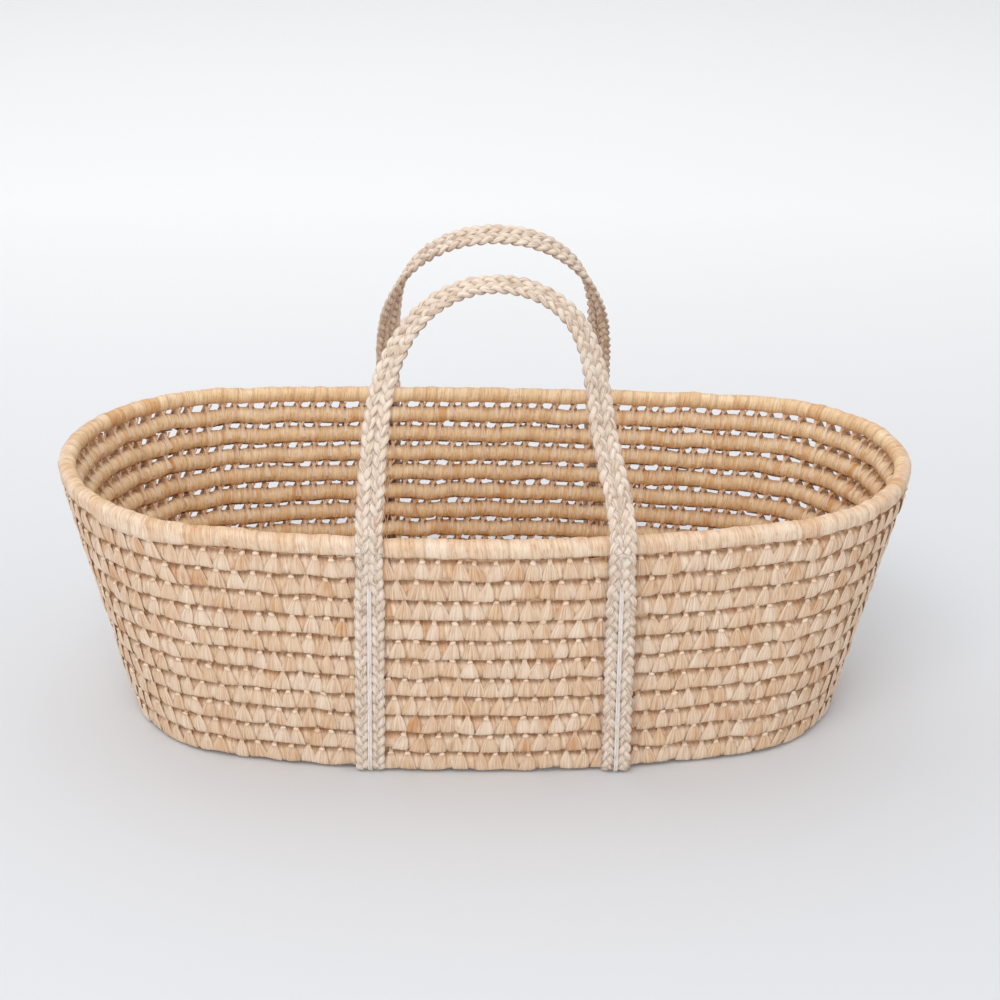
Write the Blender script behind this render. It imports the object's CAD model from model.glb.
"""The looks of a coiled palm-leaf carrying basket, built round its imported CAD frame. Metres, +Z up."""

import math

import bpy
import numpy as np
from mathutils import Matrix, Vector


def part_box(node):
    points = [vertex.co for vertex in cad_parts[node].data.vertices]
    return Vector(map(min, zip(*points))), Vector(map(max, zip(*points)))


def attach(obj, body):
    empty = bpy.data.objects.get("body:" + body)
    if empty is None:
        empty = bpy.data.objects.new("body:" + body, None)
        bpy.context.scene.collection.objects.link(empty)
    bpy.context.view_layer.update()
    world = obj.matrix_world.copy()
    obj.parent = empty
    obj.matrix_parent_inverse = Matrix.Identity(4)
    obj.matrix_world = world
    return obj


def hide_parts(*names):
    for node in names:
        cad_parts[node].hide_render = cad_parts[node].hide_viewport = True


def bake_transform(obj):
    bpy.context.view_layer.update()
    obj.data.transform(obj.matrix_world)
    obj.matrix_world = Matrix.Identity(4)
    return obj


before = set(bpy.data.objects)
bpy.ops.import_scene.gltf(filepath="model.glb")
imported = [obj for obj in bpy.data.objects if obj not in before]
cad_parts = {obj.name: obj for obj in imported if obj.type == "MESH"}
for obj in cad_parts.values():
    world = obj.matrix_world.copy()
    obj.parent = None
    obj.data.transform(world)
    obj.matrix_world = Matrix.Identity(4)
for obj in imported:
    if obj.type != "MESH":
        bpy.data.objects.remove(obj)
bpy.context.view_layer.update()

MM = 0.001
WALL_ROWS = 11
BASE_ROWS = 7

# ---------- the ovals of the coils ----------

ROPE_R = 8 * MM
HEAD_R = {"rim": 170 * MM, "base": 139 * MM}
FOOT_R = {"rim": 157 * MM, "base": 134 * MM}
SADDLE = 12 * MM
FULL = 0.1 * MM
CORNER = 0.24


class Oval:
    """Four tangent arcs: the foot end, the +Y side, the head end and the -Y side. A distance s runs round
    them in that order."""

    def __init__(self, reach, half, head_r, foot_r):
        self.values = np.array([reach, half, head_r, foot_r])
        apart = 2 * reach - head_r - foot_r
        taper = foot_r - head_r
        chord = apart**2 - (half - head_r) * taper
        foot_gap = chord / (apart + math.sqrt(apart**2 + taper / (half - foot_r) * chord))
        side_r = (foot_gap**2 / (half - foot_r) + foot_r + half) / 2
        side_y = side_r - half
        side_x = reach - foot_r - foot_gap
        foot_a = math.atan2(side_y, foot_gap)
        head_a = math.atan2(side_y, apart - foot_gap)
        sweep = math.pi - head_a - foot_a
        self.arcs = np.array(
            [
                [reach - foot_r, 0, foot_r, -foot_a, 2 * foot_a],
                [side_x, -side_y, side_r, foot_a, sweep],
                [head_r - reach, 0, head_r, math.pi - head_a, 2 * head_a],
                [side_x, side_y, side_r, math.pi + head_a, sweep],
            ]
        )
        self.ends = np.cumsum(self.arcs[:, 2] * self.arcs[:, 4])
        self.length = float(self.ends[-1])

    def at(self, s):
        """Points (..., 2) and outward normals (..., 2) at distances s."""
        s = np.mod(np.asarray(s, float), self.length)
        k = np.minimum(np.searchsorted(self.ends, s, side="right"), 3)
        start = np.concatenate([[0], self.ends])[k]
        a = self.arcs[k]
        t = a[..., 3] + (s - start) / a[..., 2]
        n = np.stack([np.cos(t), np.sin(t)], -1)
        return a[..., :2] + a[..., 2:3] * n, n


def mixed(a, b, t):
    return Oval(*(a.values * (1 - t) + b.values * t))


def coil_frame(node, which):
    """The oval and height of a CAD coil, from the box of its node."""
    lo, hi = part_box(node)
    reach = (hi.x - lo.x) / 2 - ROPE_R - FULL
    half = (hi.y - lo.y) / 2 - ROPE_R - FULL
    return Oval(reach, half, HEAD_R[which], FOOT_R[which]), (lo.z + hi.z) / 2


RIM, RIM_Z = coil_frame("rim_coil", "rim")
BASE, BASE_Z = coil_frame(f"wall_coil_{WALL_ROWS}", "base")
CORE_HALF = 11 * MM
CORE_REACH = BASE.values[0] - BASE.values[1] + CORE_HALF
CORE = Oval(CORE_REACH, CORE_HALF, CORE_HALF * 0.999, CORE_HALF * 0.999)


def wall_oval(i):
    return mixed(RIM, BASE, i / WALL_ROWS)


def wall_z(i):
    return RIM_Z + (BASE_Z - RIM_Z) * i / WALL_ROWS


def base_ring(j):
    return mixed(CORE, BASE, j / BASE_ROWS)


def saddled(p):
    """The basket's ends rise a little: the higher on the wall, the more."""
    w = np.clip((p[..., 2] - BASE_Z) / (RIM_Z - BASE_Z), 0, 1)
    q = p.copy()
    q[..., 2] += SADDLE * w * (p[..., 0] / RIM.values[0]) ** 2
    return q


# ---------- meshes ----------


class Sheaf:
    """Collects grids of points into one mesh, with the attributes that the leaf materials read:
    fibre is (mm across the fibres, mm along them, which leaf), leaf is (tone, shade, paleness)."""

    def __init__(self):
        self.points, self.quads, self.fibres, self.leaves, self.count = [], [], [], [], 0

    def grid(self, p, fibre, leaf, flip=False):
        rows, cols = p.shape[:2]
        k = np.arange(rows * cols).reshape(rows, cols) + self.count
        quad = np.stack([k[:-1, :-1], k[:-1, 1:], k[1:, 1:], k[1:, :-1]], -1).reshape(-1, 4)
        self.quads.append(quad[:, ::-1] if flip else quad)
        self.points.append(p.reshape(-1, 3))
        self.fibres.append(np.broadcast_to(fibre, p.shape).reshape(-1, 3))
        self.leaves.append(np.broadcast_to(leaf, p.shape).reshape(-1, 3))
        self.count += rows * cols

    def build(self, name, material, shape=saddled):
        points = shape(np.concatenate(self.points)).astype(np.float32)
        quads = np.concatenate(self.quads).astype(np.int32)
        mesh = bpy.data.meshes.new(name)
        mesh.vertices.add(len(points))
        mesh.vertices.foreach_set("co", points.ravel())
        mesh.loops.add(quads.size)
        mesh.loops.foreach_set("vertex_index", quads.ravel())
        mesh.polygons.add(len(quads))
        mesh.polygons.foreach_set("loop_start", np.arange(0, quads.size, 4, dtype=np.int32))
        mesh.update(calc_edges=True)
        mesh.polygons.foreach_set("use_smooth", np.ones(len(quads), bool))
        for label, data in (("fibre", self.fibres), ("leaf", self.leaves)):
            layer = mesh.attributes.new(label, "FLOAT_VECTOR", "POINT")
            layer.data.foreach_set("vector", np.concatenate(data).astype(np.float32).ravel())
        mesh.materials.append(material)
        obj = bpy.data.objects.new(name, mesh)
        bpy.context.scene.collection.objects.link(obj)
        return obj


def smooth(t):
    t = np.clip(t, 0, 1)
    return t * t * (3 - 2 * t)


def wave(s, length, low, high, rng):
    """Smooth noise of unit size round a closed line, with low to high waves in it."""
    total = np.zeros_like(s)
    for n in rng.choice(np.arange(low, high), 14, replace=False):
        total += np.sin(2 * np.pi * n * s / length + rng.uniform(0, 2 * np.pi))
    return total / math.sqrt(7)


def stacked(x, y, z):
    return np.stack(np.broadcast_arrays(x, y, z), -1).astype(float)


# ---------- coils ----------


class Coil:
    """A rope round an oval, with a slow wobble. face and up are directions of its section."""

    def __init__(self, oval, z, seed, wobble=0.7 * MM):
        self.oval, self.z = oval, z
        rng = np.random.default_rng(seed)
        self.s = np.linspace(0, oval.length, 721)
        self.rise = wobble * wave(self.s, oval.length, 3, 46, rng)
        self.out = 0.6 * wobble * wave(self.s, oval.length, 3, 40, rng)

    def centre(self, s):
        s = np.mod(s, self.oval.length)
        p, n = self.oval.at(s)
        rise = np.interp(s, self.s, self.rise)
        out = np.interp(s, self.s, self.out)
        return np.concatenate([p + n * out[..., None], (self.z + rise)[..., None]], -1), n

    def point(self, s, f, g, slope):
        """The point f along the outward face direction and g along the direction up the wall."""
        c, n = self.centre(s)
        cs, sn = np.cos(slope), np.sin(slope)
        return c + np.concatenate([n * (f * cs + g * sn)[..., None], (g * cs - f * sn)[..., None]], -1)


def slope_at(upper, lower, s_upper, s_lower):
    """How far the line from the lower coil to the upper one leans out, in radians from straight up."""
    a, _ = upper.oval.at(s_upper)
    b, n = lower.oval.at(s_lower)
    return np.arctan2(((a - b) * n).sum(-1), upper.z - lower.z)


def wrapped_rope(name, coil, material, seed, lean, widths, seam_at, step, sides, pale=0.0, relief=1.0,
                 droop=None):
    """A rope wrapped with overlapping leaf strips. lean(s) is the wall's lean there; seam_at is the angle,
    from the outward face, where the section starts."""
    rng = np.random.default_rng(seed)
    length = coil.oval.length
    edges = [0.0]
    while edges[-1] < length - widths[1]:
        edges.append(edges[-1] + rng.uniform(*widths))
    edges = np.array(edges + [length])
    n = len(edges) - 1
    tone = rng.random(n)
    golden = (rng.random(n) < 0.12) * rng.uniform(0.3, 0.9, n)
    height = rng.uniform(-0.25, 0.25, n) * MM * relief
    creased = rng.uniform(0.1, 1.3, n)
    rows = int(length / step)
    s = np.linspace(0, length, rows + 1)[:, None]
    turn = np.linspace(0, 2 * np.pi, sides + 1)[None, :] + seam_at
    slant = 1.2 * MM * np.sin(turn - 0.6) + 0.5 * MM * wave(s, length, 20, 80, rng)
    where = np.mod(s + slant, length)
    k = np.clip(np.searchsorted(edges, where, side="right") - 1, 0, n - 1)
    t = (where - edges[k]) / (edges[k + 1] - edges[k])
    groove = np.abs(2 * t - 1) ** 8
    fine = wave(s + 0 * turn, length, 300, 700, rng) * 0.06 * MM * relief
    swell = 0.25 * MM * wave(s, length, 40, 130, rng)
    h = height[k] + (0.3 * t - 0.9 * groove * creased[k]) * MM * relief + fine + swell
    corner = CORNER * np.sin(2 * turn) ** 2 * smooth(np.cos(turn) * 3) * (0.15 + 0.85 * (np.sin(turn) < 0))
    h = h + (droop(s) if droop else 0) * np.clip(-np.sin(turn), 0, 1) ** 1.5
    r = (ROPE_R + FULL) * (1 + corner) + h
    p = coil.point(s + 0 * turn, r * np.cos(turn), r * np.sin(turn), lean(s) + 0 * turn)
    inside = np.clip(-np.cos(turn), 0, 1)
    shade = np.clip(0.45 * np.abs(np.sin(turn)) ** 8 + (0.7 + 0.5 * inside) * groove * creased[k], 0, 1)
    bleached = pale * smooth(np.cos(turn) + 0.6) - 0.9 * inside**0.5
    sheaf = Sheaf()
    sheaf.grid(
        p,
        stacked(where / MM, turn * ROPE_R / MM, k * 7.3),
        stacked(tone[k] * 0.75 + golden[k], shade, bleached),
        flip=True,
    )
    return sheaf.build(name, material)


# ---------- stitches ----------

# The path of a stitch in the section of the lower coil, as (outwards, up), in rope radii: it leaves the upper
# coil, is pinched in the gap, and spreads over the face of the lower coil.
OUTER_PATH = np.array(
    [[0.20, 1.74], [0.58, 1.68], [0.90, 1.50], [1.00, 1.24], [1.04, 0.94], [1.11, 0.58], [1.15, 0.14],
     [1.16, -0.42], [1.09, -0.90], [0.68, -1.20], [0.12, -1.25]]
)
OUTER_HALF = np.array([2.9, 2.2, 1.8, 2.7, 4.3, 5.6, 6.6, 7.3, 7.8, 8.0, 7.9]) * MM
INNER_PATH = np.array(
    [[-0.06, 1.86], [-0.34, 1.76], [-0.50, 1.48], [-0.54, 1.18], [-0.66, 0.90], [-0.88, 0.56], [-1.00, 0.18],
     [-1.00, -0.16]]
)
INNER_HALF = np.array([2.6, 2.2, 1.7, 1.6, 2.1, 2.9, 3.6, 4.0]) * MM


def fine_path(path, half, rows):
    """The path and half widths at rows evenly spread places."""
    t = np.linspace(0, 1, len(path))
    u = np.linspace(0, 1, rows)
    return np.stack([np.interp(u, t, path[:, 0]), np.interp(u, t, path[:, 1])], -1), np.interp(u, t, half)


PLEAT_HEIGHT = 0.22 * MM
FAN_EDGE_DROP = 0.25 * MM
NECK_HALF_WIDTH = 1.5 * MM
NECK_HALF_DEPTH = 4.1 * MM


def leaf_fan(sheaf, lower, s, shift, slope, path, half, rng, lift, cols, pleats, tone, skew, width):
    """One side of a stitch: a pinched leaf bundle that spreads over the lower coil."""
    rows = len(path) + 3
    line, spread = fine_path(path, half, rows)
    spread = spread * np.interp(np.linspace(0, 1, rows), [0, 0.35, 1], [1, 1, width])
    v = np.linspace(0, 1, rows)[:, None]
    u = np.linspace(-1, 1, cols)[None, :]
    away = np.stack([line[:, 0], np.where(line[:, 1] > 1.0, 0, line[:, 1])], -1)
    away /= np.linalg.norm(away, axis=1, keepdims=True) + 1e-9
    drift = skew * smooth((v - 0.3) / 0.7) + shift * smooth((0.3 - v) / 0.3)
    across = s + drift + u * spread[:, None]
    fold = np.cos(u * np.pi * pleats + rng.uniform(0, 6))
    crown = lift * (1 - np.abs(u) ** 2.4)
    ridges = PLEAT_HEIGHT * fold * smooth((v - 0.1) / 0.2)
    bulge = (crown + ridges) - FAN_EDGE_DROP * np.abs(u) ** 4
    bulge = bulge * np.interp(v, [0, 0.25, 0.4, 1], [0.2, 1.6, 1.25, 0.8])
    f = line[:, None, 0] * ROPE_R + away[:, None, 0] * bulge
    g = line[:, None, 1] * ROPE_R + away[:, None, 1] * bulge
    p = lower.point(across, f + 0 * u, g + 0 * u, slope + 0 * across)
    crease = np.clip(0.35 - 0.5 * fold, 0, 1) * np.clip(1.2 - v, 0, 1) * 0.6
    shade = np.clip(crease + 0.4 * np.abs(u) ** 10 + 0.2 * smooth((v - 0.88) / 0.12), 0, 1)
    sheaf.grid(
        p,
        stacked(u * 5.5 + rng.uniform(0, 900), v * 14, rng.uniform(0, 50)),
        stacked(tone, shade, 0.55 * smooth((0.6 - v) / 0.4)),
        flip=np.sign(path[-2, 0]) > 0,
    )


def tube(sheaf, line, side, through, half_a, half_b, tone, shade, pale, seed, sides=8, lump=None):
    """A closed-section strand along line, with half widths along side and through."""
    t = np.linspace(0, 2 * np.pi, sides + 1)
    a = np.broadcast_to(half_a, (len(line),))[:, None, None]
    b = np.broadcast_to(half_b, (len(line),))[:, None, None]
    ca, sb = np.cos(t)[None, :, None], np.sin(t)[None, :, None]
    if lump is not None:
        a, b = a * lump[..., None], b * lump[..., None]
    p = line[:, None, :] + side[:, None, :] * a * ca + through[:, None, :] * b * sb
    run = np.concatenate([[0], np.cumsum(np.linalg.norm(np.diff(line, axis=0), axis=1))])[:, None] / MM
    around = t[None, :] * np.mean((half_a + half_b) / 2) / MM
    sheaf.grid(p, stacked(around + seed * 3.1, run, seed), stacked(tone, shade, pale))
    return p


def neck(sheaf, lower, s, slope, lean, rng, tone):
    """The middle of a stitch, between its two sides: what shows of it through the gap."""
    g = np.linspace(0.86, 1.92, 6) * ROPE_R
    t = np.linspace(0, 1, 6)
    across = s + lean * t
    line = lower.point(across, 0 * g + 0.3 * MM, g, slope + 0 * g)
    ahead = lower.point(across + 1 * MM, 0 * g + 0.3 * MM, g, slope + 0 * g)
    out = lower.point(across, 0 * g + 1.3 * MM, g, slope + 0 * g)
    side = (ahead - line) / MM
    through = (out - line) / MM
    pinch = 1 + 0.9 * np.abs(2 * t - 1) ** 2.5
    tube(sheaf, line, side, through, NECK_HALF_WIDTH * pinch, NECK_HALF_DEPTH * pinch**0.3,
         tone + 0.35, 0.8, -0.4, rng.uniform(0, 99))


def slanted_strand(sheaf, lower, s, slope, rng, tone, reach):
    """A strand across the gap's inner edge, from a stitch's foot to the upper coil further back."""
    t = np.linspace(0, 1, 5)
    g = (0.92 + 0.98 * t) * ROPE_R
    f = -(0.42 + 0.12 * np.sin(np.pi * t)) * ROPE_R
    across = s + reach * t
    line = lower.point(across, f, g, slope + 0 * g)
    side = (lower.point(across + 1 * MM, f, g, slope + 0 * g) - line) / MM
    through = (lower.point(across, f + 1 * MM, g, slope + 0 * g) - line) / MM
    tube(sheaf, line, side, through, (0.8 + 0.7 * t) * MM, 0.9 * MM,
         tone + 0.25, 0.7, -0.3, rng.uniform(0, 99), sides=6)


def knot_lump(sheaf, lower, s, slope, rng, tone):
    """A small knotted lump on a stitch's neck, with its loose ends."""
    size = rng.uniform(1.9, 2.8) * MM
    t = np.linspace(0.02, 0.98, 6) * np.pi
    spin = rng.uniform(-0.6, 0.6)
    outwards, upwards, slope = np.array(0.98 * ROPE_R), np.array(1.34 * ROPE_R), np.array(slope)
    at = lower.point(np.array(s), outwards, upwards, slope)
    along = (lower.point(np.array(s + MM), outwards, upwards, slope) - at) / MM
    out = (lower.point(np.array(s), np.array(outwards + MM), upwards, slope) - at) / MM
    up = np.cross(along, out)
    axis = along * math.cos(spin) + up * math.sin(spin)
    line = at + axis * (-np.cos(t) * size * 1.25)[:, None]
    side = np.broadcast_to(np.cross(out, axis), line.shape)
    tube(sheaf, line, side, np.broadcast_to(out, line.shape), np.sin(t) * size * 0.8, np.sin(t) * size * 0.75,
         tone, 0.1, 0.8, rng.uniform(0, 99), sides=8)
    for _ in range(rng.integers(0, 3)):
        d = along * rng.uniform(-1, 1) + up * rng.uniform(-0.3, 1) + out * rng.uniform(0.2, 0.7)
        d /= np.linalg.norm(d)
        reach = np.linspace(0, rng.uniform(2.5, 5) * MM, 4)[:, None]
        tuft = at + d * reach - up * reach**2 * 40
        tube(sheaf, tuft, np.broadcast_to(np.cross(d, out), tuft.shape), np.broadcast_to(out, tuft.shape),
             np.linspace(0.45, 0.15, 4) * MM, 0.3 * MM, tone, 0.2, 0.8, rng.uniform(0, 99), sides=4)


def stitches(name, upper, lower, pitch, seed, material, hidden, outer=True):
    """Every stitch in the gap between two coils. hidden(x) says where a strap covers the outer side."""
    rng = np.random.default_rng(seed)
    sheaf = Sheaf()
    count = round(lower.oval.length / pitch)
    share = (np.arange(count) + rng.uniform(-0.17, 0.17, count) + rng.random()) / count
    for q in share:
        s, su = q * lower.oval.length, q * upper.oval.length
        slope = float(slope_at(upper, lower, su, s))
        tone = float(np.clip(rng.normal(0.42, 0.26), 0, 1) + (rng.random() < 0.07) * 0.5)
        x = float(lower.oval.at(s)[0][0])
        skew = rng.normal(-1.1, 1.8) * MM
        width = rng.uniform(0.72, 1.35)
        neck(sheaf, lower, s, slope, rng.normal(0, 0.6) * MM, rng, tone)
        leaf_fan(sheaf, lower, s, rng.normal(0, 0.6) * MM, slope, INNER_PATH, INNER_HALF, rng,
                 0.25 * MM, 7, rng.uniform(1.5, 2.6), tone, 0.5 * skew, rng.uniform(0.8, 1.2))
        slanted_strand(sheaf, lower, s, slope, rng, tone, -rng.uniform(3.0, 5.4) * MM)
        if outer and not hidden(x):
            leaf_fan(sheaf, lower, s, rng.normal(0, 0.6) * MM, slope, OUTER_PATH, OUTER_HALF, rng,
                     rng.uniform(0.12, 0.36) * MM, 17, rng.uniform(2.6, 5.2), tone, skew, width)
            if rng.random() < 0.8:
                knot_lump(sheaf, lower, s, slope, rng, tone * 0.7)
    return sheaf.build(name, material)


# ---------- straps and handles ----------

STRAP_SPACING = 224 * MM
STRAP_T = 5 * MM
HINGE_RISE = 2 * MM
PLAIT_W = 12.8 * MM
SEAM_W = 2.4 * MM
PLAIT_MIDDLE = (PLAIT_W + SEAM_W) / 2
HANDLE_T = 7 * MM
HANDLE_FULL = 8.0 * MM
CLEARANCE = 0.2 * MM
LEAN = math.radians(30)
TWIST = {-1: math.radians(42), 1: math.radians(86)}
TWIST_FROM = 0.05
SQUARENESS = 0.56
HANDLE_REACH = 238 * MM
HANDLE_START = 3 * MM
LEG_LEAN = 13 * MM
SPLAY_RIM = 2.2 * MM
SPLAY_BASE = 7.0 * MM
SPLAY_FADE = 80 * MM
STRAND_PERIOD = 34 * MM

STRAP_X = {
    "left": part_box("left_strap_outer_plait")[1].x + SEAM_W / 2,
    "right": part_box("right_strap_outer_plait")[0].x - SEAM_W / 2,
}
SHIFT = (STRAP_X["left"] + STRAP_X["right"]) / 2


def side_reach(oval, x):
    cx, cy, r = oval.arcs[1, :3]
    return math.sqrt(r * r - (x - cx) ** 2) + cy


def strap_reach(oval):
    edge = PLAIT_W + SEAM_W / 2
    left = side_reach(oval, SHIFT - STRAP_SPACING / 2 + edge)
    right = side_reach(oval, SHIFT + STRAP_SPACING / 2 - edge)
    return max(left, right)


SLOPE = math.atan2(strap_reach(RIM) - strap_reach(BASE), RIM_Z - BASE_Z)
UP = np.array([math.sin(SLOPE), math.cos(SLOPE)])
OUT = np.array([math.cos(SLOPE), -math.sin(SLOPE)])
RIM_MIDDLE = np.array([strap_reach(RIM), RIM_Z])
BASE_MIDDLE = np.array([strap_reach(BASE), BASE_Z])
STRAP_OUTSIDE = ROPE_R + CLEARANCE + STRAP_T
HINGE_Z = RIM_Z + ROPE_R + HINGE_RISE
HINGE_UP = (HINGE_Z - RIM_Z + STRAP_OUTSIDE * math.sin(SLOPE)) / math.cos(SLOPE)
HINGE = RIM_MIDDLE + STRAP_OUTSIDE * OUT + HINGE_UP * UP
STRAP_MID = STRAP_OUTSIDE - STRAP_T / 2


def arch_points(side, n):
    """The middle of a handle, from its head-end hinge to its foot-end one, with the directions across and
    through the strap, for a handle that stands upright: x, inwards, up."""
    v = np.linspace(-1, 1, n)
    turn = np.pi / 2 * (1 - np.abs(v)) ** (1 / SQUARENESS)
    x = np.sign(v) * STRAP_SPACING / 2 * np.cos(turn)
    h = HANDLE_START + (HANDLE_REACH - HANDLE_START) * np.sin(turn) ** SQUARENESS
    if side < 0:
        x = x - LEG_LEAN * (v > 0) * np.sin(np.pi * h / HANDLE_REACH) ** 2
    heading = np.gradient(np.stack([x, h], -1), axis=0)
    heading /= np.linalg.norm(heading, axis=1, keepdims=True)
    heading[0], heading[-1] = [0, 1], [0, -1]
    twist = TWIST[side] * smooth((h / HANDLE_REACH - TWIST_FROM) / (1 - TWIST_FROM))
    c, s = np.cos(twist), np.sin(twist)
    middle = np.stack([x, np.full(n, 0.3 * MM + HANDLE_T / 2), h], -1)
    across = np.stack([-heading[:, 1] * c, s, heading[:, 0] * c], -1)
    through = np.stack([heading[:, 1] * s, c, -heading[:, 0] * s], -1)
    return middle, across, through


def placed(p, side, vector=False):
    """From a handle's own frame to the basket's: leant inwards at its hinge line."""
    c, s = math.cos(LEAN), math.sin(LEAN)
    y = p[:, 1] * c + p[:, 2] * s
    z = -p[:, 1] * s + p[:, 2] * c
    q = np.stack([p[:, 0], y, z], -1)
    if not vector:
        q += [SHIFT, -HINGE[0], HINGE[1]]
    if side > 0:
        q[:, 1] *= -1
    return q


def splay(z):
    """How much further from the middle each strap is than in the CAD: more towards the base, nothing high on
    a handle."""
    down = np.clip((RIM_Z - z) / (RIM_Z - BASE_Z), 0, 1)
    up = smooth((z - HINGE_Z) / SPLAY_FADE)
    return (SPLAY_RIM + (SPLAY_BASE - SPLAY_RIM) * down) * (1 - up)


STRAP_START = 9 * MM


def wall_points(x, side, n_bend=14):
    """The middle of a strap from below the hinge down the wall to the middle of the base, with its outward
    direction."""
    pts = [RIM_MIDDLE + STRAP_MID * OUT + (HINGE_UP - STRAP_START) * UP]
    out = [OUT]
    for k in range(n_bend + 1):
        t = -SLOPE + (-math.pi / 2 + SLOPE) * k / n_bend
        d = np.array([math.cos(t), math.sin(t)])
        pts.append(BASE_MIDDLE + STRAP_MID * d)
        out.append(d)
    pts.append(np.array([0, pts[-1][1]]))
    out.append(np.array([0, -1]))
    pts, out = np.array(pts), np.array(out)
    return (
        np.stack([np.full(len(pts), x), side * pts[:, 0], pts[:, 1]], -1),
        np.stack([np.zeros(len(pts)), side * out[:, 0], out[:, 1]], -1),
    )


def whole_loop():
    """The closed line of both handles and both straps: points, directions across and outward through."""
    keep = slice(2, -2)
    arches = {}
    for side in (-1, 1):
        mid, across, through = arch_points(side, 241)
        arches[side] = (
            placed(mid, side)[keep], placed(across, side, True)[keep], -placed(through, side, True)[keep]
        )
    front, back = arches[-1], arches[1]
    pieces = []

    def add(p, a, n):
        pieces.append((p, a, n))

    def wall(name, side, down):
        p, n = wall_points(STRAP_X[name], side)
        a = np.tile([-1.0 if name == "left" else 1.0, 0, 0], (len(p), 1))
        if not down:
            p, n, a = p[::-1], n[::-1], a[::-1]
        add(p, a, n)

    # The outer plait's side is +across: away from the middle of the basket, and the top of an arch.
    p, a, n = front
    add(p, a, n)
    wall("right", -1, True)
    wall("right", 1, False)
    p, a, n = back
    add(p[::-1], a[::-1], n[::-1])
    wall("left", 1, True)
    wall("left", -1, False)
    pts = np.concatenate([q[0] for q in pieces])
    acr = np.concatenate([q[1] for q in pieces])
    nor = np.concatenate([q[2] for q in pieces])
    return pts, acr, nor


def normalised(v):
    return v / np.linalg.norm(v, axis=-1, keepdims=True)


def resampled(pts, acr, nor, step):
    """The loop at even steps, smoothed a little so that no bend is sharp."""
    pts = np.vstack([pts, pts[:1]])
    acr = np.vstack([acr, acr[:1]])
    nor = np.vstack([nor, nor[:1]])
    run = np.concatenate([[0], np.cumsum(np.linalg.norm(np.diff(pts, axis=0), axis=1))])
    total = run[-1]
    n = int(round(total / step))
    s = np.arange(n) * total / n
    sample = lambda a: np.stack([np.interp(s, run, a[:, k]) for k in range(3)], -1)
    p, a, m = sample(pts), sample(acr), sample(nor)
    p[:, 0] += np.sign(p[:, 0] - SHIFT) * splay(p[:, 2])
    kernel = np.exp(-np.linspace(-2, 2, 9) ** 2)
    kernel /= kernel.sum()
    for arr in (p, a, m):
        for k in range(3):
            padded = np.concatenate([arr[-4:, k], arr[:, k], arr[:4, k]])
            arr[:, k] = np.convolve(padded, kernel, "valid")
    tangent = normalised(np.roll(p, -1, 0) - np.roll(p, 1, 0))
    a = normalised(a - (a * tangent).sum(-1, keepdims=True) * tangent)
    m = normalised(m - (m * tangent).sum(-1, keepdims=True) * tangent - (m * a).sum(-1, keepdims=True) * a)
    return p, a, m, s, total


LOOP_P, LOOP_A, LOOP_N, LOOP_S, LOOP_LENGTH = resampled(*whole_loop(), 1.5 * MM)
ON_HANDLE = LOOP_P[:, 2] > HINGE_Z - 9.5 * MM


def loop_runs():
    """The loop's four stretches: index arrays for front handle, right strap, back handle and left strap."""
    n = len(LOOP_P)
    change = np.flatnonzero(ON_HANDLE != np.roll(ON_HANDLE, 1))
    runs = {}
    for a, b in zip(change, np.roll(change, -1)):
        idx = np.arange(a, b if b > a else b + n) % n
        handle, middle = ON_HANDLE[idx[0]], LOOP_P[idx].mean(0)
        if handle:
            runs["front_handle" if middle[1] < 0 else "back_handle"] = idx
        else:
            runs["left_strap" if middle[0] < SHIFT else "right_strap"] = idx
    return runs


RUNS = loop_runs()


def thickness(idx):
    """A strap is thin where it is sewn to the basket, and fuller in the handles."""
    z = LOOP_P[idx, 2]
    return STRAP_T + (HANDLE_FULL - STRAP_T) * smooth((z - HINGE_Z - 4 * MM) / (40 * MM))


BRAID_W = 13.6 * MM
STRAND_HALF = 3.3 * MM
STRAND_THICK = 1.22 * MM
SEAM_TOP = 207 * MM


CLOSE_BY = 1.5 * MM


def closing(idx):
    """How far each plait moves over the seam. It shows only on the lower wall: above that the plaits meet."""
    return CLOSE_BY * smooth((LOOP_P[idx, 2] - SEAM_TOP) / (20 * MM))


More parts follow.
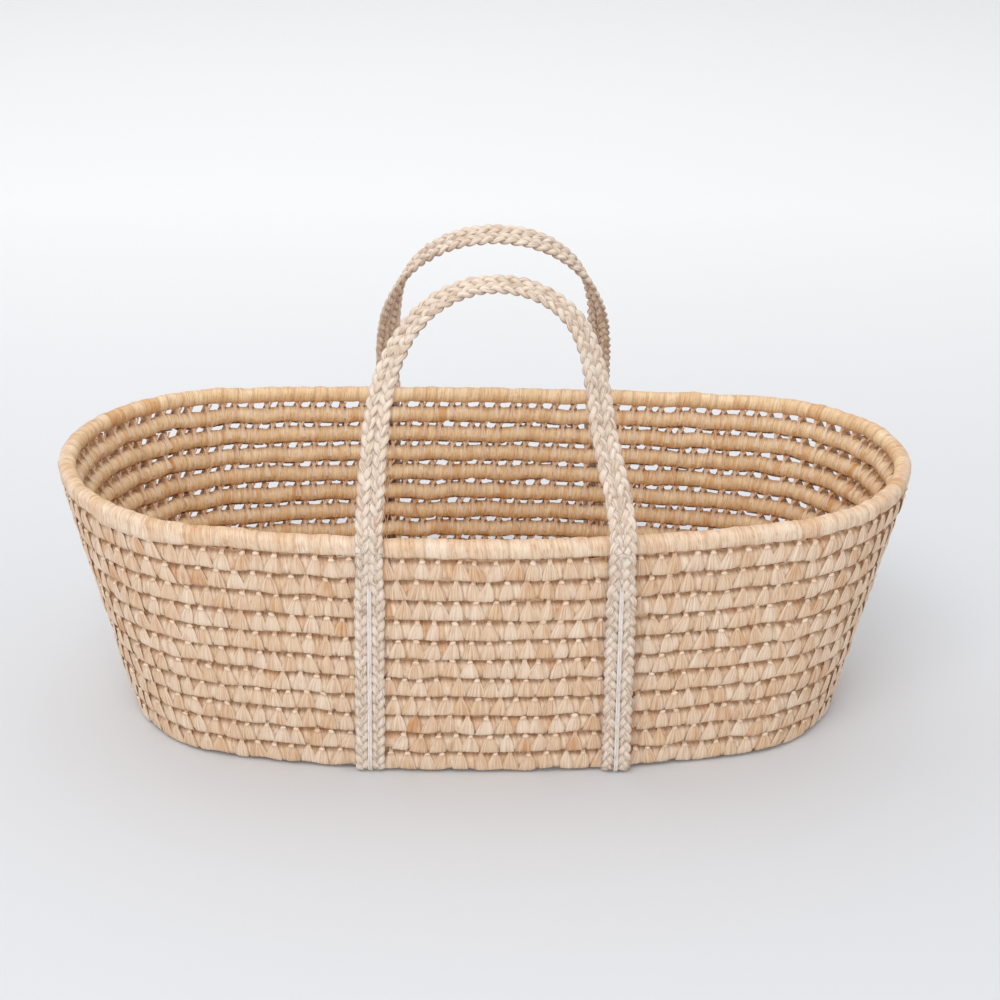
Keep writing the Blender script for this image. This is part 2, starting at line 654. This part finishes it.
def plait(name, idx, where, material, seed):
    """Three strands braided flat. where is +1 for the outer plait and -1 for the inner one."""
    rng = np.random.default_rng(seed)
    sheaf = Sheaf()
    turns = round(LOOP_LENGTH / STRAND_PERIOD)
    for k in range(3):
        phase = 2 * np.pi * (turns * LOOP_S[idx] / LOOP_LENGTH + k / 3) * where
        thick = thickness(idx)
        full = thick / STRAP_T
        close = where * (PLAIT_MIDDLE - closing(idx))
        swing = (BRAID_W / 2 - STRAND_HALF) * np.sin(phase)
        rise = (thick / 2 - STRAND_THICK * full) * 0.98 * np.sin(2 * phase) * where
        wobble = 0.16 * MM * wave(LOOP_S[idx] + 0.37 * k, LOOP_LENGTH, 60, 300, rng)
        line = (
            LOOP_P[idx]
            + LOOP_A[idx] * (close + swing + wobble)[:, None]
            + LOOP_N[idx] * rise[:, None]
        )
        along = normalised(np.gradient(line, axis=0))
        tilt = 0.25 * np.cos(phase) * where
        through = LOOP_N[idx] + LOOP_A[idx] * tilt[:, None]
        side = normalised(np.cross(along, through))
        through = np.cross(side, along)
        half_a = STRAND_HALF * (1 + 0.07 * wave(LOOP_S[idx], LOOP_LENGTH, 80, 260, rng))
        half_b = STRAND_THICK * full * (1 + 0.06 * wave(LOOP_S[idx], LOOP_LENGTH, 80, 260, rng))
        t = np.linspace(0, 2 * np.pi, 13)[None, :]
        twist = (LOOP_S[idx] / (46 * MM))[:, None]
        lump = 1 + 0.05 * np.cos(5 * t + 2 * np.pi * twist) + 0.035 * np.cos(9 * t - 2 * np.pi * twist * 1.7)
        patch = np.clip(wave(LOOP_S[idx], LOOP_LENGTH, 20, 90, rng), -1.5, 1.5)
        tone = 0.42 + 0.3 * patch
        crossing = 0.5 + 0.5 * np.cos(2 * phase * where + 0.9)[:, None]
        edge = np.abs(np.cos(t)) ** 3 * (0.2 + 0.75 * crossing)
        ca, sa = np.cos(t), np.sin(t)
        square = np.sign(ca) * np.abs(ca) ** 0.85, np.sign(sa) * np.abs(sa) ** 0.75
        p = (
            line[:, None, :]
            + side[:, None, :] * (half_a[:, None] * lump * square[0])[..., None]
            + through[:, None, :] * (half_b[:, None] * lump * square[1])[..., None]
        )
        sheaf.grid(
            p,
            stacked(t * 2.1 + 40 * k + where * 9, (LOOP_S[idx] / MM)[:, None], 11.0 * k + where),
            stacked(tone[:, None], edge, 0.5),
        )
    return sheaf.build(name, material, shape=saddled)


def seam(name, idx, material, seed):
    """The white thread between two plaits: two cords side by side, with a small stitch at each step."""
    rng = np.random.default_rng(seed)
    sheaf = Sheaf()
    on_top = thickness(idx) / 2
    depth = np.maximum(on_top - 0.45 * MM - 1.9 * closing(idx), 0.2 * MM)
    for k in (-1, 1):
        line = LOOP_P[idx] + LOOP_A[idx] * (k * 1.0 * MM) + LOOP_N[idx] * depth[:, None]
        uneven = 1 + 0.08 * wave(LOOP_S[idx], LOOP_LENGTH, 200, 500, rng)
        half = 1.15 * MM * (1 - 0.5 * closing(idx) / MM) * uneven
        tube(sheaf, line, LOOP_A[idx], LOOP_N[idx], half, 0.9 * half, 0.25, 0.15, 0.8, 3 + k, sides=8)
    line = LOOP_P[idx] - LOOP_N[idx] * depth[:, None]
    tube(sheaf, line, LOOP_A[idx], LOOP_N[idx], 0.9 * MM, 0.6 * MM, 0.2, 0.2, 0.9, 8, sides=8)
    flat = LOOP_P[idx]
    tube(sheaf, flat, LOOP_A[idx], LOOP_N[idx], 1.0 * MM, depth - 0.2 * MM, 0.4, 0.8, 0.2, 9, sides=6)
    return sheaf.build(name, material, shape=saddled)


TACK_INSET = 1.2 * MM


def strap_tacks(name, at, material, seed):
    """Thread tied across the inner faces of two coils at every gap, which holds the strap to the wall."""
    rng = np.random.default_rng(seed)
    sheaf = Sheaf()
    for side in (-1, 1):
        for i in range(1, WALL_ROWS + 1):
            mid = RIM_MIDDLE + (BASE_MIDDLE - RIM_MIDDLE) * (i - 0.5) / WALL_ROWS
            x = at + math.copysign(float(splay(mid[1])), at - SHIFT)
            inner = -(ROPE_R + 0.9 * MM)
            t = np.linspace(-1, 1, 13)
            bow = inner + 1.6 * MM * (1 - np.abs(t) ** 2) + 1.2 * MM * np.abs(t) ** 6
            for off in (-0.9 * MM, 1.1 * MM):
                lean_off = rng.normal(0, 1.6) * MM
                y = mid[0] + bow * OUT[0] + t * 8.5 * MM * UP[0]
                z = mid[1] + bow * OUT[1] + t * 8.5 * MM * UP[1]
                line = np.stack([x + off + lean_off * t, side * y, z], -1)
                tube(sheaf, line, np.tile([1.0, 0, 0], (13, 1)), np.tile([0, side * OUT[0], OUT[1]], (13, 1)),
                     0.55 * MM, 0.5 * MM, rng.uniform(0.3, 1), 0.5, 0.1, rng.uniform(0, 99), sides=8)
            u = np.linspace(0, 1, 7)[:, None]
            start = np.array([x, side * (mid[0] + (inner + TACK_INSET) * OUT[0]),
                              mid[1] + (inner + TACK_INSET) * OUT[1]])
            end = np.array([x, side * (mid[0] + (STRAP_OUTSIDE - TACK_INSET) * OUT[0]),
                            mid[1] + (STRAP_OUTSIDE - TACK_INSET) * OUT[1]])
            line = start + (end - start) * u
            tube(sheaf, line, np.tile([1.0, 0, 0], (7, 1)), np.tile([0, 0, 1.0], (7, 1)), 1.0 * MM, 1.0 * MM,
                 0.5, 0.5, 0.3, rng.uniform(0, 99), sides=8)
    return sheaf.build(name, material)


# ---------- materials ----------


def srgb(r, g, b):
    lin = [((c / 255 + 0.055) / 1.055) ** 2.4 if c > 10 else c / 255 / 12.92 for c in (r, g, b)]
    return (*lin, 1.0)


class Nodes:
    """A short way to make shader nodes."""

    def __init__(self, name):
        self.material = bpy.data.materials.new(name)
        self.material.use_nodes = True
        self.tree = self.material.node_tree
        self.shader = self.tree.nodes["Principled BSDF"]

    def link(self, a, b):
        self.tree.links.new(a, b)

    def node(self, kind, **settings):
        n = self.tree.nodes.new(kind)
        for key, value in settings.items():
            setattr(n, key, value)
        return n

    def math(self, operation, a, b=None, clamp=False):
        n = self.node("ShaderNodeMath", operation=operation, use_clamp=clamp)
        for socket, value in zip(n.inputs, (a, b)):
            if value is None:
                continue
            if isinstance(value, (int, float)):
                socket.default_value = value
            else:
                self.link(value, socket)
        return n.outputs[0]

    def noise(self, vector, scale, detail=3.0, rough=0.55):
        """Noise of a vector scaled by scale, three numbers."""
        m = self.node("ShaderNodeVectorMath", operation="MULTIPLY")
        self.link(vector, m.inputs[0])
        m.inputs[1].default_value = scale
        n = self.node("ShaderNodeTexNoise")
        n.inputs["Scale"].default_value = 1.0
        n.inputs["Detail"].default_value = detail
        n.inputs["Roughness"].default_value = rough
        self.link(m.outputs[0], n.inputs["Vector"])
        return n.outputs["Fac"]

    def ramp(self, value, stops):
        n = self.node("ShaderNodeValToRGB")
        n.color_ramp.interpolation = "B_SPLINE" if len(stops) > 3 else "LINEAR"
        for element, (at, colour) in zip(n.color_ramp.elements, (stops[0], stops[-1])):
            element.position, element.color = at, colour
        for at, colour in stops[1:-1]:
            element = n.color_ramp.elements.new(at)
            element.color = colour
        self.link(value, n.inputs[0])
        return n.outputs[0]

    def mix(self, factor, a, b, blend="MIX"):
        n = self.node("ShaderNodeMix", data_type="RGBA", blend_type=blend)
        if isinstance(factor, (int, float)):
            n.inputs["Factor"].default_value = factor
        else:
            self.link(factor, n.inputs["Factor"])
        for socket, value in ((n.inputs[6], a), (n.inputs[7], b)):
            if isinstance(value, tuple):
                socket.default_value = value
            else:
                self.link(value, socket)
        return n.outputs[2]


GOLDEN = (1.04, 1.0, 0.79, 1)
GOLDEN_SHARE = 0.8


def leaf_material(name, stops, deep, pale, deep_share, bump, roughness, streak=1.0):
    """Dried leaf: fibres drawn along the fibre attribute, tones from the leaf attribute, darker and warmer
    where the leaf is shaded, in creases and in gaps."""
    m = Nodes(name)
    fibre = m.node("ShaderNodeAttribute", attribute_name="fibre").outputs["Vector"]
    leaf = m.node("ShaderNodeAttribute", attribute_name="leaf").outputs["Vector"]
    split = m.node("ShaderNodeSeparateXYZ")
    m.link(leaf, split.inputs[0])
    tone, shade, paleness = split.outputs
    hair = m.noise(fibre, (2.2 * streak, 0.08, 1.0), 4.0, 0.62)
    streaks = m.noise(fibre, (0.8 * streak, 0.045, 1.0), 3.0, 0.6)
    patches = m.noise(fibre, (0.10, 0.09, 0.31), 3.0, 0.6)
    value = m.math("MULTIPLY", tone, 0.42)
    value = m.math("ADD", value, m.math("MULTIPLY", m.math("SUBTRACT", streaks, 0.5), 1.1))
    value = m.math("ADD", value, m.math("MULTIPLY", m.math("SUBTRACT", hair, 0.5), 0.7))
    value = m.math("ADD", value, m.math("MULTIPLY", m.math("SUBTRACT", patches, 0.5), 0.6))
    value = m.math("ADD", value, 0.2, clamp=True)
    colour = m.ramp(value, stops)
    golden = m.math("MULTIPLY", paleness, -GOLDEN_SHARE, clamp=True)
    colour = m.mix(golden, colour, GOLDEN, "MULTIPLY")
    colour = m.mix(m.math("MULTIPLY", paleness, 0.35, clamp=True), colour, pale)
    veins = m.noise(fibre, (0.5 * streak, 0.03, 1.0), 2.0, 0.5)
    off_vein = m.math("ABSOLUTE", m.math("SUBTRACT", veins, 0.5))
    line = m.math("SUBTRACT", 1.0, m.math("MULTIPLY", off_vein, 16.0), clamp=True)
    line = m.math("MULTIPLY", line, m.math("MULTIPLY", m.math("SUBTRACT", patches, 0.3), 2.6, clamp=True))
    colour = m.mix(m.math("MULTIPLY", line, 0.7), colour, deep)
    line = m.math("MULTIPLY", m.math("SUBTRACT", hair, 0.56), 5.0, clamp=True)
    colour = m.mix(m.math("MULTIPLY", line, 0.55), colour, deep)
    worn = m.math("MULTIPLY", shade, m.math("ADD", streaks, 0.28), clamp=True)
    colour = m.mix(m.math("MULTIPLY", worn, deep_share), colour, deep)
    m.link(colour, m.shader.inputs["Base Color"])
    rough = m.math("ADD", m.math("MULTIPLY", streaks, 0.22), roughness)
    m.link(rough, m.shader.inputs["Roughness"])
    m.shader.inputs["Specular IOR Level"].default_value = 0.32
    height = m.math("ADD", m.math("MULTIPLY", hair, 0.6), m.math("MULTIPLY", streaks, 0.9))
    b = m.node("ShaderNodeBump")
    b.inputs["Strength"].default_value = bump
    b.inputs["Distance"].default_value = 0.6 * MM
    m.link(height, b.inputs["Height"])
    m.link(b.outputs["Normal"], m.shader.inputs["Normal"])
    return m.material


def straw_material(name, warmth):
    """Palm leaf, from pale cream to golden tan. warmth moves all of it towards golden."""
    stops = [
        (0.0, srgb(248, 231, 211)),
        (0.30, srgb(240 - warmth, 216 - 2 * warmth, 190 - 3 * warmth)),
        (0.58, srgb(231 - warmth, 200 - 2 * warmth, 167 - 3 * warmth)),
        (0.82, srgb(220, 174, 130)),
        (1.0, srgb(204, 144, 96)),
    ]
    return leaf_material(name, stops, srgb(190, 128, 76), srgb(249, 232, 210), 0.6, 0.9, 0.5)


def plait_material(name):
    stops = [
        (0.0, srgb(241, 228, 212)),
        (0.35, srgb(232, 214, 196)),
        (0.7, srgb(222, 198, 174)),
        (1.0, srgb(200, 165, 132)),
    ]
    return leaf_material(name, stops, srgb(128, 90, 62), srgb(246, 233, 220), 0.85, 0.8, 0.55, streak=0.9)


def thread_material(name):
    stops = [(0.0, srgb(246, 240, 233)), (0.6, srgb(238, 229, 219)), (1.0, srgb(214, 192, 168))]
    return leaf_material(name, stops, srgb(160, 128, 100), srgb(249, 246, 241), 0.45, 0.3, 0.6, streak=2.0)


def paper_material(name):
    """Matt paper, a little darker where the basket stands than at the back."""
    m = Nodes(name)
    split = m.node("ShaderNodeSeparateXYZ")
    m.link(m.node("ShaderNodeNewGeometry").outputs["Position"], split.inputs[0])
    far = m.math("MULTIPLY", m.math("SUBTRACT", split.outputs[1], 0.15), 0.6, clamp=True)
    m.link(m.mix(far, srgb(219, 221, 225), srgb(246, 247, 248)), m.shader.inputs["Base Color"])
    m.shader.inputs["Roughness"].default_value = 0.9
    m.shader.inputs["Specular IOR Level"].default_value = 0.2
    return m.material


# ---------- the basket ----------


def ride(obj, body, slot, *nodes):
    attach(obj, body)
    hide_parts(*nodes)
    return obj


WALL_WOBBLE = 0.7 * MM
RIM_WOBBLE = 0.35 * MM
BASE_WOBBLE = 0.4 * MM
RIM_WRAP_WIDTHS = (9 * MM, 22 * MM)
COIL_WRAP_WIDTHS = (4 * MM, 10 * MM)
WALL_STITCH_PITCH = 16.6 * MM
BASE_STITCH_PITCH = 17.5 * MM
COIL_SEED = 100
WRAP_SEED = 200
WALL_STITCH_SEED = 300
RING_SEED = 400
BASE_WRAP_SEED = 500
BASE_STITCH_SEED = 600
BRAID_SEED = 700
THREAD_SEED = 710
TIE_SEED = 720
END_DROP = 5.4 * MM
STRAP_EDGE = PLAIT_W + SEAM_W / 2 + 1 * MM


def rim_end(s):
    """How far the rim's rope reaches down where it ends against the coil below, on the front wall near the
    head end."""
    p = wall_oval(0).at(s)[0]
    x = p[..., 0] / MM
    return END_DROP * (p[..., 1] < 0) * smooth((x + 372) / 20) * smooth((-262 - x) / 45)


def under_strap(z):
    """A test of x: whether a strap covers the wall's outer side there, at height z."""
    half = (STRAP_X["right"] - STRAP_X["left"]) / 2 + float(splay(z))
    return lambda x: abs(abs(x - SHIFT) - half) < STRAP_EDGE


def build_wall(straw, lacing):
    coils = []
    for i in range(WALL_ROWS + 1):
        wobble = RIM_WOBBLE if i == 0 else WALL_WOBBLE
        coils.append(Coil(wall_oval(i), wall_z(i), COIL_SEED + i, wobble=wobble))
    for i, coil in enumerate(coils):
        above, below = coils[max(i - 1, 0)], coils[min(i + 1, WALL_ROWS)]

        def lean(s, above=above, below=below, coil=coil):
            q = s / coil.oval.length
            return slope_at(above, below, q * above.oval.length, q * below.oval.length)

        rim = i == 0
        name = "rim_coil" if rim else f"wall_coil_{i}"
        obj = wrapped_rope(
            name + "_wrap", coil, straw, WRAP_SEED + i, lean,
            RIM_WRAP_WIDTHS if rim else COIL_WRAP_WIDTHS,
            -math.pi / 2 if rim else math.pi / 2, 1.4 * MM, 20 if rim else 16,
            pale=0.5 if rim else 0.15, relief=0.6 if rim else 1.0, droop=rim_end if rim else None,
        )
        ride(obj, "basket", "wall_straw", name)
    for i in range(1, WALL_ROWS + 1):
        obj = stitches(f"wall_stitches_{i}", coils[i - 1], coils[i], WALL_STITCH_PITCH, WALL_STITCH_SEED + i,
                       lacing, under_strap(wall_z(i - 0.5)))
        ride(obj, "basket", "lacing_straw", f"wall_lacing_{i}")
    return coils


def build_base(straw, lacing):
    rings = [Coil(base_ring(j), BASE_Z, RING_SEED + j, wobble=BASE_WOBBLE) for j in range(BASE_ROWS)]
    rings.append(Coil(BASE, BASE_Z, COIL_SEED + WALL_ROWS))
    for j in range(BASE_ROWS):
        name = "base_core" if j == 0 else f"base_coil_{j}"
        obj = wrapped_rope(name + "_wrap", rings[j], straw, BASE_WRAP_SEED + j, lambda s: 0 * s + math.pi / 2,
                           COIL_WRAP_WIDTHS, math.pi / 2, 1.8 * MM, 12)
        ride(obj, "basket", "base_straw", name)
    for j in range(1, BASE_ROWS + 1):
        obj = stitches(f"base_stitches_{j}", rings[j], rings[j - 1], BASE_STITCH_PITCH, BASE_STITCH_SEED + j,
                       lacing, lambda x: False)
        ride(obj, "basket", "lacing_straw", f"base_lacing_{j}")


def build_straps(plaited, thread, lacing):
    for name in ("left", "right"):
        idx = RUNS[f"{name}_strap"]
        for label, where in (("outer", 1), ("inner", -1)):
            obj = plait(f"{name}_strap_{label}_braid", idx, where, plaited, BRAID_SEED + where)
            ride(obj, "basket", "strap_plait", f"{name}_strap_{label}_plait")
        obj = seam(f"{name}_strap_thread", idx, thread, THREAD_SEED)
        ride(obj, "basket", "seam_thread", f"{name}_strap_seam")
        obj = strap_tacks(f"{name}_strap_ties", STRAP_X[name], lacing, TIE_SEED)
        ride(obj, "basket", "seam_thread", f"{name}_strap_tacks")


def build_handles(plaited, thread):
    for name in ("front", "back"):
        idx = RUNS[f"{name}_handle"]
        n = len(LOOP_P)
        idx = np.concatenate([[(idx[0] - 1) % n], idx, [(idx[-1] + 1) % n]])
        made = []
        for label, where in (("outer", 1), ("inner", -1)):
            made.append((plait(f"{name}_handle_{label}_braid", idx, where, plaited, BRAID_SEED + where),
                         "strap_plait", f"{name}_handle_{label}_plait"))
        made.append((seam(f"{name}_handle_thread", idx, thread, THREAD_SEED),
                     "seam_thread", f"{name}_handle_seam"))
        for obj, slot, node in made:
            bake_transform(obj)
            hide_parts(node)


# ---------- floor, light and camera ----------

FLOOR_WIDTH = 40.0
FLOOR_FRONT = -20.0
FLOOR_BACK = 5.0
SWEEP_R = 2.5
WALL_TOP = 6.0


def build_stage():
    """A pale floor that sweeps up into a backdrop."""
    turns = np.linspace(0, math.pi / 2, 17)
    bend = [(FLOOR_BACK + SWEEP_R * math.sin(t), SWEEP_R - SWEEP_R * math.cos(t)) for t in turns]
    line = np.array([(FLOOR_FRONT, 0.0)] + bend + [(FLOOR_BACK + SWEEP_R, WALL_TOP)])
    x = np.array([-FLOOR_WIDTH / 2, FLOOR_WIDTH / 2])
    p = np.stack([np.stack([np.full(len(line), v), line[:, 0], line[:, 1]], -1) for v in x], 1)
    sheaf = Sheaf()
    sheaf.grid(p, 0.0, 0.0, flip=True)
    floor = sheaf.build("floor_and_backdrop", paper_material("paper"), shape=lambda q: q)


def area_light(name, location, target, size, power, colour=(1, 1, 1)):
    light = bpy.data.lights.new(name, "AREA")
    light.shape = "RECTANGLE"
    light.size, light.size_y = size
    light.energy = power
    light.color = colour
    obj = bpy.data.objects.new(name, light)
    obj.location = location
    obj.rotation_euler = (Vector(target) - Vector(location)).to_track_quat("-Z", "Y").to_euler()
    bpy.context.scene.collection.objects.link(obj)
    return obj


WORLD_STRENGTH = 0.68
OVERHEAD_WATTS = 56
KEY_WATTS = 40
FRONT_WATTS = 30


def build_light():
    scene = bpy.context.scene
    world = bpy.data.worlds.new("studio")
    world.use_nodes = True
    world.node_tree.nodes["Background"].inputs["Color"].default_value = (1.0, 1.0, 1.0, 1)
    world.node_tree.nodes["Background"].inputs["Strength"].default_value = WORLD_STRENGTH
    scene.world = world
    area_light("overhead", (-0.4, 2.2, 3.8), (-0.1, 2.2, 0), (5.0, 5.0), OVERHEAD_WATTS)
    area_light("key", (-0.7, -2.0, 3.1), (0, 0.1, 0.15), (1.6, 1.6), KEY_WATTS)
    area_light("front", (-0.9, -4.6, 1.5), (0, 0, 0.1), (3.0, 2.0), FRONT_WATTS)
    scene.view_settings.view_transform = "Standard"
    scene.view_settings.look = "None"


CAMERA_TARGET = Vector((0.0142, 0.0, 0.2150))
CAMERA_DISTANCE = 1.818
CAMERA_RISE = math.radians(25.12)
CAMERA_YAW = math.radians(-0.98)
CAMERA_ROLL = math.radians(0.75)
CAMERA_LENS = 65.0


def build_camera():
    away = Vector((
        math.sin(CAMERA_YAW) * math.cos(CAMERA_RISE),
        -math.cos(CAMERA_YAW) * math.cos(CAMERA_RISE),
        math.sin(CAMERA_RISE),
    ))
    data = bpy.data.cameras.new("camera")
    data.lens, data.sensor_width = CAMERA_LENS, 36.0
    data.clip_end = 60
    camera = bpy.data.objects.new("camera", data)
    camera.location = CAMERA_TARGET + away * CAMERA_DISTANCE
    turn = (-away).to_track_quat("-Z", "Y").to_matrix().to_4x4()
    camera.rotation_euler = (turn @ Matrix.Rotation(CAMERA_ROLL, 4, "Z")).to_euler()
    bpy.context.scene.collection.objects.link(camera)
    bpy.context.scene.camera = camera


def main():
    straw = straw_material("wrapped_straw", 2)
    base_straw = straw_material("base_straw", 4)
    lacing = straw_material("lacing_straw", 0)
    plaited = plait_material("plaited_leaf")
    thread = thread_material("seam_thread")
    build_wall(straw, lacing)
    build_base(base_straw, lacing)
    build_straps(plaited, thread, lacing)
    build_handles(plaited, thread)
    build_stage()
    build_light()
    build_camera()


main()
